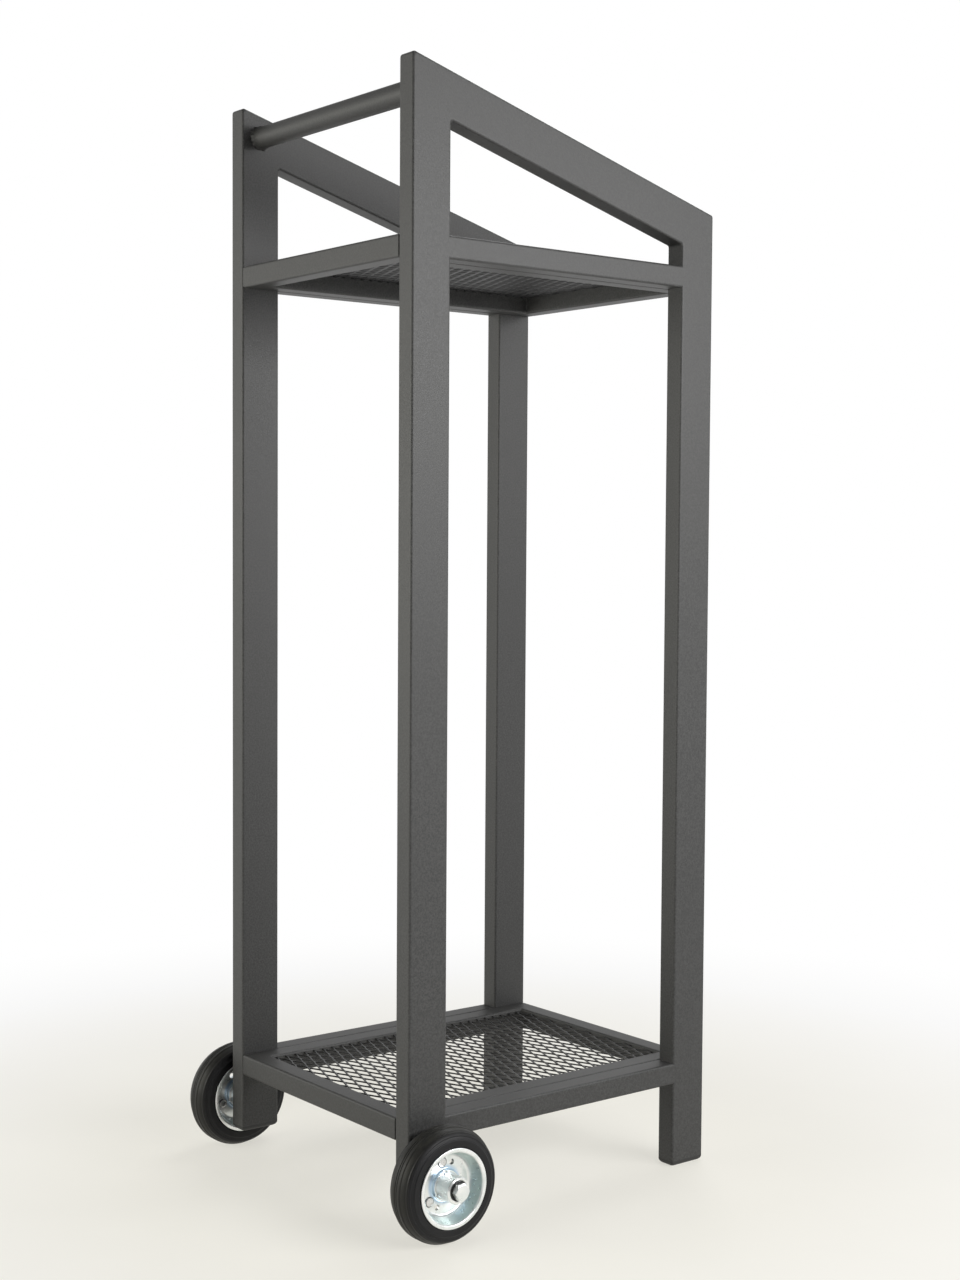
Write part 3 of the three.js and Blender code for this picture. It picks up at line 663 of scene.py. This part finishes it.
class CART_OT_expanded_sheets(bpy.types.Operator):
    """Builds the expanded-metal sheets: rows of diamond cells whose strands lean like louvres"""
    bl_idname = "cart.expanded_sheets"
    bl_label = "Expanded sheets"

    def execute(self, context):
        sizes = context.scene.cart_sheets
        for shelf in SHELVES:
            middle, _ = middle_and_half(f"{shelf}_shelf_mesh")
            tube_low, tube_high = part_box(f"{shelf}_shelf_right_tube")
            inner_x = tube_high.x - (tube_high.z - tube_low.z)
            inner_low = Vector((-inner_x, tube_low.y + tube_high.x - inner_x, 0))
            inner_high = Vector((inner_x, tube_high.y - tube_high.x + inner_x, 0))
            cells = self.cells(sizes, inner_low, inner_high, middle.z)
            obj = piece(context, f"{shelf}_shelf_sheet", cells, "mesh_coat", FRAME_BODY,
                        [f"{shelf}_shelf_mesh"])
            self.trim(obj, inner_low, inner_high, sizes.bite)
        return {"FINISHED"}

    def cells(self, sizes, low, high, height):
        """Each cell is a diamond, and its rings run from the strands' middle lines to the opening and back.

        At an angle t the diamond lies at (A cos^2 t, B sin^2 t), with the signs of cos t and sin t, and the
        opening at (a |cos t|^p, b |sin t|^p). A strand's edge lies above its middle line on the side of
        +Y of the opening and below it on the side of -Y, in the proportion y / b."""
        half_long, half_short = sizes.long_pitch / 2, sizes.short_pitch / 2
        inset = sizes.strand / 2 * np.hypot(half_long, half_short) / (half_long * half_short)
        around = np.linspace(0, 2 * np.pi, CELL_STEPS, endpoint=False)
        cos, sin = np.cos(around), np.sin(around)

        def ring(reach_x, reach_y, power):
            return np.stack([reach_x * np.sign(cos) * np.abs(cos) ** power,
                             reach_y * np.sign(sin) * np.abs(sin) ** power], axis=-1)

        power = 2 / sizes.squareness
        reach_x, reach_y = half_long * (1 - inset), half_short * (1 - inset)
        opening = ring(reach_x, reach_y, power)
        shoulder = ring(reach_x + 2 * sizes.edge, reach_y + sizes.edge, power)
        border = ring(half_long, half_short, 2)
        lean = sizes.tilt * opening[:, 1] / reach_y
        half = sizes.thickness / 2
        levels = [(border, half, 0), (shoulder, half, 0.8), (opening, half - sizes.edge, 1),
                  (opening, sizes.edge - half, 1), (shoulder, -half, 0.8), (border, -half, 0)]
        rings = np.stack([np.column_stack([flat, height + level + share * lean])
                          for flat, level, share in levels])
        middle = (np.array(low[:2]) + np.array(high[:2])) / 2
        reach = (np.array(high[:2]) - np.array(low[:2])) / 2
        columns = int(np.ceil(reach[0] / half_long)) + 1
        rows = int(np.ceil(reach[1] / half_short)) + 1
        column, row = np.meshgrid(np.arange(-columns, columns + 1), np.arange(-rows, rows + 1), indexing="ij")
        own = (column + row) % 2 == 0
        centres = np.column_stack([middle[0] + column[own] * half_long, middle[1] + row[own] * half_short,
                                   np.zeros(own.sum())])
        skin = Skin()
        skin.grid(centres[:, None, None, :] + rings[None])
        return skin

    def trim(self, obj, low, high, bite):
        """Cuts the sheet along the four inner faces of its frame and closes the cut strands."""
        work = bmesh.new()
        work.from_mesh(obj.data)
        for corner, outward in ((low, -1), (high, 1)):
            for axis in range(2):
                normal = Vector((0, 0, 0))
                normal[axis] = outward
                geometry = work.verts[:] + work.edges[:] + work.faces[:]
                cut = bmesh.ops.bisect_plane(work, geom=geometry, plane_co=corner + normal * bite,
                                             plane_no=normal, clear_outer=True, dist=MERGE)
                edges = [part for part in cut["geom_cut"] if isinstance(part, bmesh.types.BMEdge)]
                bmesh.ops.edgenet_fill(work, edges=edges)
        bmesh.ops.recalc_face_normals(work, faces=work.faces)
        work.to_mesh(obj.data)
        work.free()


class CART_OT_handle(bpy.types.Operator):
    """Builds the handle: a round tube with a rippled weld at each end"""
    bl_idname = "cart.handle"
    bl_label = "Handle"

    def execute(self, context):
        """The outer radius is the tube's plus a bell of the distance from the end, which ripples round it."""
        sizes = context.scene.cart_tubes
        centre, (half, _, radius) = middle_and_half("handle")
        from_end = np.concatenate([4 * sizes.bead_width * np.linspace(0, 1, 17) ** 1.3, [half / 2]])
        x = np.concatenate([from_end - half, half - from_end[::-1]])
        around = np.linspace(0, 2 * np.pi, SHAFT_STEPS, endpoint=False)[:, None]
        wander = (0.35 * np.sin(sizes.bead_ripples * around + 1.5 * np.sin(2 * around))
                  + 0.25 * np.sin(3 * around + x))
        bell = np.exp(-((half - np.abs(x)) / sizes.bead_width) ** 2)
        outside = radius + sizes.bead_height * bell * (1 + wander)
        inside = np.full((SHAFT_STEPS, 2), radius - sizes.wall)
        ends = np.tile([half, -half], (SHAFT_STEPS, 1))
        along = np.concatenate([np.broadcast_to(x, outside.shape), ends], 1)
        profile = np.stack([along, np.concatenate([outside, inside], 1)], axis=-1)
        skin = looped(turned(profile, centre).transpose(1, 0, 2))
        piece(context, "welded_handle", skin, "powder_coat", FRAME_BODY, ["handle"])
        return {"FINISHED"}


class CART_OT_end_plugs(bpy.types.Operator):
    """Builds the four end plugs, with a quarter-round lower edge and an insert in the post"""
    bl_idname = "cart.end_plugs"
    bl_label = "End plugs"

    def execute(self, context):
        for side_name in SIDES:
            for end in ("rear", "front"):
                self.build(context, side_name, end)
        return {"FINISHED"}

    def build(self, context, side_name, end):
        """Rings of the post's outline, inset by R (1 - sin t) at the height R (1 - cos t), and the insert."""
        sizes = context.scene.cart_tubes
        low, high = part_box(f"{side_name}_{end}_plug")
        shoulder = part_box(f"{side_name}_{end}_post")[0].z
        middle = (low + high) / 2
        width, thickness = high.x - low.x, high.y - low.y
        turn = np.linspace(0, np.pi / 2, 9)
        insert = sizes.wall + sizes.plug_insert_gap
        insets = np.concatenate([sizes.plug_rounding * (1 - np.sin(turn)), [0, insert, insert]])
        heights = np.concatenate([low.z + sizes.plug_rounding * (1 - np.cos(turn)),
                                  [shoulder, shoulder, high.z]])
        rings = []
        for inset, height in zip(insets, heights):
            flat = rounded_rectangle(width - 2 * inset, thickness - 2 * inset, sizes.corner,
                                     sizes.corner_steps)
            rings.append(np.column_stack([flat, np.full(len(flat), height)]))
        skin = Skin()
        skin.capped(np.array(rings) + np.array([middle.x, middle.y, 0]))
        piece(context, f"{side_name}_{end}_foot", skin, "end_plug", FRAME_BODY, [f"{side_name}_{end}_plug"])


# ---- Wheels ----

def wheel_middle(side_name):
    return middle_and_half(f"{side_name}_tyre")[0]


def rivet_offset(side_name, number):
    """From the wheel's middle to a rivet's."""
    return middle_and_half(f"{side_name}_rim_rivet_{number}")[0] - wheel_middle(side_name)


class CART_OT_tyres(bpy.types.Operator):
    """Builds the solid tyres: stepped sides, round shoulders and fine mould lines beside the tread"""
    bl_idname = "cart.tyres"
    bl_label = "Tyres"

    def execute(self, context):
        sizes = context.scene.cart_wheels
        for side_name, side in SIDES.items():
            centre, (half, _, radius) = middle_and_half(f"{side_name}_tyre")
            _, rim = middle_and_half(f"{side_name}_rim_outer_half")
            outline = self.profile(sizes, half, radius, rim[2])
            skin = looped(turned(outline, centre, side, TYRE_STEPS))
            piece(context, f"{side_name}_rubber_tyre", skin, "tyre_rubber", f"{side_name}_wheel",
                  [f"{side_name}_tyre"])
        return {"FINISHED"}

    def profile(self, sizes, half, radius, ring):
        """Half an outline from the bead up to the middle of the tread, closed by its mirror image.

        The shoulder is a quarter of an ellipse from the side up to the tread. Two bands moulded round it lie
        deeper: the depth is a sum of steps, 1 / (1 + exp(distance / width)), down and up again."""
        tread = sizes.tread_width / 2
        foot = radius - sizes.shoulder
        rim_gap = 0.3 * MM
        bead = half - 0.8 * MM
        side = [(bead, sizes.mouth_radius + sizes.sheet + rim_gap), (bead, ring + rim_gap),
                (half - 0.2 * MM, ring + 0.7 * MM), (half, ring + 1.4 * MM), (half, foot)]
        side = filleted(side, 0.25 * MM, 3, closed=False, hold=0.04 * MM)[0]
        turn = np.linspace(0, np.pi / 2, 72)[1:]
        normal = np.column_stack([np.cos(turn), np.sin(turn)])
        shoulder = np.column_stack([tread + (half - tread) * np.cos(turn),
                                    foot + sizes.shoulder * np.sin(turn)])
        band_edges, step_width = ((0.16, -1), (0.46, 1), (0.82, -1), (1.385, 1)), 0.014
        steps = sum(sign / (1 + np.exp((turn - place) / step_width)) for place, sign in band_edges)
        shoulder -= sizes.ring_step * steps[:, None] * normal
        across = np.linspace(tread, 0, 13)[1:]
        groove, groove_width = 1.2 * MM, 0.35 * MM
        crown = radius - sizes.ring_step * np.exp(-((across - groove) / groove_width) ** 2)
        bore = np.array([(0, sizes.web_radius + sizes.sheet + rim_gap)])
        outer = np.concatenate([side, shoulder, np.column_stack([across, crown])])
        return np.concatenate([outer, outer[-2::-1] * (-1, 1), bore])


class CART_OT_rims(bpy.types.Operator):
    """Builds the pressed rim halves with their notched collars and locating holes, and the rivets"""
    bl_idname = "cart.rims"
    bl_label = "Rims and rivets"

    def execute(self, context):
        for side_name, side in SIDES.items():
            for half, direction in (("outer", side), ("inner", -side)):
                self.rim_half(context, side_name, half, direction)
            for number in RIVETS:
                self.rivet(context, side_name, number)
        return {"FINISHED"}

    def rim_half(self, context, side_name, half, direction):
        """The pressed section turned about the axle; near each rivet's angle the collar's end dips."""
        sizes = context.scene.cart_wheels
        centre = wheel_middle(side_name)
        node = f"{side_name}_rim_{half}_half"
        low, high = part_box(node)
        ring = (high.z - low.z) / 2
        reach = max(abs(high.x - centre.x), abs(low.x - centre.x))
        neck = middle_and_half(f"{side_name}_hub")[1][2] + sizes.neck_gap
        sheet = sizes.sheet
        section = [(0, neck), (0, sizes.web_radius + sheet), (reach - sheet, sizes.mouth_radius + sheet),
                   (reach - sheet, ring), (reach, ring), (reach, sizes.mouth_radius),
                   (sheet, sizes.web_radius), (sheet, neck + sheet), (sizes.neck_height, neck + sheet),
                   (sizes.neck_height, neck)]
        bends = np.array([0.2, 3.0, 1.0, 0.3, 0.7, 1.8, 3.0, 1.6, 0.7, 0.3]) * MM
        outline, corner = filleted(section, bends, 6, hold=0.1 * MM)
        around = np.linspace(0, 2 * np.pi, RIM_STEPS, endpoint=False)[:, None]
        profile = np.repeat(outline[None], RIM_STEPS, axis=0)
        collar_end = np.isin(corner, (8, 9))
        for number in RIVETS:
            offset = rivet_offset(side_name, number)
            away = np.angle(np.exp(1j * (around - np.arctan2(offset.z, offset.y))))
            dip = 1 / (1 + np.exp((np.abs(away) - sizes.notch_angle) / (0.1 * sizes.notch_angle)))
            profile[..., 0] -= sizes.notch_depth * dip * collar_end
        skin = looped(turned(profile, centre, direction, RIM_STEPS))
        offset = rivet_offset(side_name, 2)
        holes = [((centre.x, centre.y - quarter * offset.z, centre.z + quarter * offset.y), reach,
                  sizes.hole / 2) for quarter in (1, -1)]
        piece(context, f"{side_name}_rim_{half}", skin, "zinc_plate", f"{side_name}_wheel", [node], holes)

    def rivet(self, context, side_name, number):
        """A shank with a low domed head at each end, turned about its own axis.

        At an angle t, which starts below the head's widest place, the head's radius is R cos^0.5 t and its
        height goes with sin t."""
        sizes = context.scene.cart_wheels
        node = f"{side_name}_rim_rivet_{number}"
        middle, (half, _, _) = middle_and_half(node)
        head, shank = sizes.rivet_head / 2, sizes.rivet_shank / 2
        under = 0.6
        turn = np.linspace(-under, np.pi / 2, 16)
        rise = (np.sin(turn) + np.sin(under)) / (1 + np.sin(under))
        dome = np.column_stack([sizes.sheet + (half - sizes.sheet) * rise,
                                head * np.cos(turn).clip(0) ** 0.5])
        end = np.concatenate([[(sizes.sheet, shank)], dome])
        skin = Skin()
        skin.lathed(np.concatenate([end[::-1] * (-1, 1), end]), middle, steps=RIVET_STEPS)
        obj = piece(context, f"{side_name}_rivet_{number}", skin, "rivet_steel", f"{side_name}_wheel", [node])
        # This attribute drives the shade that the steel finish paints at the rivet head's edge.
        points = np.array([vertex.co for vertex in obj.data.vertices]) - np.array(middle)
        share = obj.data.attributes.new(HEAD_EDGE, "FLOAT", "POINT")
        share.data.foreach_set("value", np.hypot(points[:, 1], points[:, 2]) / head)


class CART_OT_bearings(bpy.types.Operator):
    """Builds the hubs, the roller cages, the bushes and the bolts"""
    bl_idname = "cart.bearings"
    bl_label = "Hubs, bearings and bolts"

    def execute(self, context):
        sizes = context.scene.cart_wheels
        for side_name, side in SIDES.items():
            centre = wheel_middle(side_name)
            self.sleeve(context, f"{side_name}_hub_tube", f"{side_name}_hub", "zinc_plate",
                        f"{side_name}_wheel", sizes.hub_bore, outer=sizes.hub_chamfer, inner=0.5 * MM)
            self.cage(context, side_name, centre, sizes)
            self.sleeve(context, f"{side_name}_bearing_bush", f"{side_name}_bush", "bush_steel", FRAME_BODY,
                        sizes.bush_bore, outer=0.4 * MM, inner=0.2 * MM)
            self.bolt(context, side_name, side, centre, sizes)
            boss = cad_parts[f"{side_name}_axle_boss"]
            boss.data.materials.clear()
            boss.data.materials.append(finish_for(context, "bush_steel"))
        return {"FINISHED"}

    def sleeve(self, context, name, node, slot, body, bore, outer, inner):
        """A tube turned about the axle, with a chamfer on each outer and each inner edge."""
        middle, (half, _, radius) = middle_and_half(node)
        section = [(-half, bore + inner), (-half, radius - outer), (outer - half, radius),
                   (half - outer, radius), (half, radius - outer), (half, bore + inner),
                   (half - inner, bore), (inner - half, bore)]
        skin = looped(turned(filleted(section, 0.15 * MM, 2, hold=0.03 * MM)[0], middle))
        piece(context, name, skin, slot, body, [node])

    def cage(self, context, side_name, centre, sizes):
        """Two grooved end rings, with rollers and bars in turn between them, evenly round the axle."""
        node = f"{side_name}_roller_cage"
        _, (half, _, outer) = middle_and_half(node)
        inner = middle_and_half(f"{side_name}_bush")[1][2] + (sizes.hub_bore - outer)
        middle = (inner + outer) / 2
        start = half - sizes.cage_ring
        groove = 0.25 * MM
        section = [(start, inner), (start, outer), (half, outer), (half, middle + groove),
                   (half - groove, middle), (half, middle - groove), (half, inner)]
        outline = filleted(section, 0.12 * MM, 2, hold=0.02 * MM)[0]
        skin = Skin()
        for side in (1, -1):
            skin.grid(turned(outline, centre, side, SHANK_STEPS), wrap_rows=True)
        end = start + 0.25 * sizes.cage_ring
        roller = [(-end, 0), (-end, sizes.roller_radius), (end, sizes.roller_radius), (end, 0)]
        bar = rounded_rectangle(sizes.cage_bar, sizes.cage_bar, 0.2 * MM, 2)
        step = 2 * np.pi / sizes.roller_count
        for number in range(sizes.roller_count):
            across = Vector((0, np.cos(number * step), np.sin(number * step)))
            skin.lathed(roller, centre + across * middle, steps=ROLLER_STEPS)
            turn = (number + 0.5) * step
            out = np.array([np.cos(turn), np.sin(turn)])
            flat = (middle + bar[:, :1]) * out + bar[:, 1:] * crosswise(out)
            ends = [np.column_stack([np.full(len(flat), x), flat]) for x in (-end, end)]
            skin.capped(np.array(ends) + np.array(centre))
        piece(context, f"{side_name}_bearing_cage", skin, "bearing_plastic", f"{side_name}_wheel", [node])

    def bolt(self, context, side_name, side, centre, sizes):
        """The head's radius is half the flats over the cosine of the angle from the flat's middle.

        Its end is cut by a cone that starts at the flats, and the shank is turned about the same axis."""
        node = f"{side_name}_wheel_bolt"
        low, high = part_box(node)
        top = abs((high.x if side > 0 else low.x) - centre.x)
        far = -abs((low.x if side > 0 else high.x) - centre.x)
        seat = top - sizes.bolt_head
        around = np.linspace(0, 2 * np.pi, SHAFT_STEPS, endpoint=False)
        across = sizes.bolt_flats / 2
        sixth = np.pi / 3
        corner = across / np.cos(np.mod(around, sixth) - sixth / 2)
        face = across - 0.35 * MM
        fall = np.maximum(corner - face, 0) * np.tan(sizes.bolt_chamfer)
        washer = seat + 0.3 * MM
        rows = [(seat, 0), (seat, 0.93 * across), (washer, 0.97 * across), (washer, corner),
                (top - fall, corner), (top, face), (top, 0.97 * face), (top, 0)]
        profile = np.stack([np.column_stack([np.broadcast_to(value, SHAFT_STEPS) for value in row])
                            for row in rows], axis=1)
        skin = Skin()
        skin.lathed(profile, centre, side)
        tip, root = far + 0.6 * MM, seat + 0.5 * MM
        shank = [(far, 0), (far, sizes.bolt_radius - 0.6 * MM), (tip, sizes.bolt_radius),
                 (root, sizes.bolt_radius), (root, 0)]
        skin.lathed(shank, centre, side, SHANK_STEPS)
        piece(context, f"{side_name}_hex_bolt", skin, "zinc_plate", FRAME_BODY, [node])


# ---- Floor, light and camera ----

class CART_OT_stage(bpy.types.Operator):
    """Sets the pale floor, the soft lamps, the white background and the camera"""
    bl_idname = "cart.stage"
    bl_label = "Stage"

    def execute(self, context):
        stage = context.scene.cart_stage
        self.camera(context, stage)
        self.floor(stage)
        self.room(context, stage)
        tints = {"left_lamp": stage.left_colour}
        for name, (place, size) in LAMPS.items():
            self.lamp(context, name, getattr(stage, name), place, size, tints.get(name, WHITE))
        context.scene.view_settings.view_transform = "Standard"
        return {"FINISHED"}

    def camera(self, context, stage):
        """The view direction from its azimuth and elevation, turned by the roll."""
        azimuth, elevation, roll = stage.azimuth, stage.elevation, stage.roll
        back = Vector((np.sin(azimuth) * np.cos(elevation), -np.cos(azimuth) * np.cos(elevation),
                       np.sin(elevation)))
        level = Vector((0, 0, 1)).cross(back).normalized()
        upright = back.cross(level)
        right = level * np.cos(roll) + upright * np.sin(roll)
        up = upright * np.cos(roll) - level * np.sin(roll)
        data = bpy.data.cameras.new("photo_camera")
        data.sensor_width = 36
        data.lens = stage.lens
        obj = bpy.data.objects.new("photo_camera", data)
        turn = Matrix((right, up, back)).transposed().to_4x4()
        obj.matrix_world = Matrix.Translation(Vector(stage.camera)) @ turn
        context.scene.collection.objects.link(obj)
        context.scene.camera = obj

    def floor(self, stage):
        """A wide flat floor, pale near the cart and white far off, which keeps every shadow near the cart."""
        nodes = Nodes(bpy.data.materials.new("floor"))
        distance = nodes.add("VectorMath", {0: nodes.place()}, operation="LENGTH").outputs["Value"]
        mottle = nodes.spread(nodes.noise(scale=5, detail=5), 0, 1)
        tone = nodes.toned(mottle, tuple(stage.floor), dark=0.965, light=1.03)
        nodes.surface(Base_Color=tone, Roughness=0.6)
        far = nodes.spread(distance, stage.floor_white, 1, 0.3, 1.1, interpolation_type="SMOOTHSTEP")
        cream = nodes.spread(distance, 0, 1, 0.3, 0.8)
        glow = nodes.add("Emission", {"Color": nodes.blend(cream, tuple(stage.floor_glow), WHITE)})
        path = nodes.add("LightPath").outputs
        mirrored = nodes.math("MAXIMUM", path["Is Glossy Ray"], path["Is Transmission Ray"])
        seen = nodes.math("MAXIMUM", path["Is Camera Ray"], mirrored)
        share = nodes.math("MULTIPLY", seen, far)
        mix = nodes.add("MixShader", {"Fac": share, 1: nodes.shader.outputs["BSDF"],
                                      2: glow.outputs["Emission"]})
        nodes.feed(nodes.tree.nodes["Material Output"].inputs["Surface"], mix.outputs["Shader"])
        skin = Skin()
        skin.grid([[(x, y, 0) for x in (-FLOOR_REACH, FLOOR_REACH)] for y in (-FLOOR_REACH, FLOOR_REACH)],
                  wrap_columns=False)
        obj = placed("floor", closed_mesh("floor", skin))
        if obj.data.polygons[0].normal.z < 0:
            obj.data.flip_normals()
        obj.data.materials.append(nodes.owner)

    def room(self, context, stage):
        """The camera sees white all round. Glossy faces see white that fades overhead, by the height of the
        direction seen, and behind the camera, by the product of that direction and the camera's own. Matt
        faces see a share of the same."""
        world = bpy.data.worlds.new("room")
        context.scene.world = world
        nodes = Nodes(world)
        path = nodes.add("LightPath").outputs
        direction = nodes.add("TexCoord").outputs["Generated"]
        ahead = (np.sin(stage.azimuth), -np.cos(stage.azimuth), 0)
        facing = nodes.add("VectorMath", {0: direction, 1: ahead}, operation="DOT_PRODUCT").outputs["Value"]
        height = nodes.add("SeparateXYZ", {"Vector": direction}).outputs["Z"]
        backdrop = nodes.spread(facing, 1, stage.camera_side, 0.1, 0.85, interpolation_type="SMOOTHSTEP")
        ceiling = nodes.spread(height, 1, stage.overhead, 0.2, 0.8)
        mirrored = nodes.math("MAXIMUM", path["Is Glossy Ray"], path["Is Transmission Ray"])
        share = nodes.spread(mirrored, stage.room, 1, 0, 1)
        light = nodes.math("MULTIPLY", nodes.math("MULTIPLY", backdrop, ceiling), share)
        background = nodes.tree.nodes["Background"]
        background.inputs["Color"].default_value = (*WHITE, 1)
        nodes.feed(background.inputs["Strength"], nodes.math("MAXIMUM", light, path["Is Camera Ray"]))

    def lamp(self, context, name, power, place, size, tint):
        """A rectangular soft lamp that faces the upper half of the cart."""
        data = bpy.data.lights.new(name, "AREA")
        data.shape = "RECTANGLE"
        data.size, data.size_y = size
        data.energy = power
        data.color = tint
        obj = bpy.data.objects.new(name, data)
        obj.rotation_euler = (Vector(place) - Vector(LAMP_TARGET)).to_track_quat("Z", "Y").to_euler()
        obj.location = place
        obj.visible_camera = False
        context.scene.collection.objects.link(obj)


# ---- Panel, registration and the run ----

BUILD_STEPS = ("stage", "side_frames", "shelf_frames", "expanded_sheets", "handle", "end_plugs", "tyres",
               "rims", "bearings")


class CART_PT_panel(bpy.types.Panel):
    """The cart's sizes, finishes and building steps in the sidebar"""
    bl_idname = "CART_PT_panel"
    bl_label = "Fireside log cart"
    bl_space_type = "VIEW_3D"
    bl_region_type = "UI"
    bl_category = "Log cart"

    def draw(self, context):
        for step in BUILD_STEPS:
            self.layout.operator(f"cart.{step}")
        for group, kind in SETTINGS.items():
            box = self.layout.box()
            box.label(text=kind.__name__)
            for name in kind.__annotations__:
                box.prop(getattr(context.scene, group), name)


OPERATORS = (CART_OT_stage, CART_OT_side_frames, CART_OT_shelf_frames, CART_OT_expanded_sheets,
             CART_OT_handle, CART_OT_end_plugs, CART_OT_tyres, CART_OT_rims, CART_OT_bearings)


def register():
    for kind in (*SETTINGS.values(), *OPERATORS, CART_PT_panel):
        bpy.utils.register_class(kind)
    for group, kind in SETTINGS.items():
        setattr(bpy.types.Scene, group, PointerProperty(type=kind))


def unregister():
    for group in SETTINGS:
        delattr(bpy.types.Scene, group)
    for kind in (CART_PT_panel, *reversed(OPERATORS), *reversed(SETTINGS.values())):
        bpy.utils.unregister_class(kind)


def main():
    register()
    for step in BUILD_STEPS:
        getattr(bpy.ops.cart, step)()


if __name__ == "__main__":
    main()
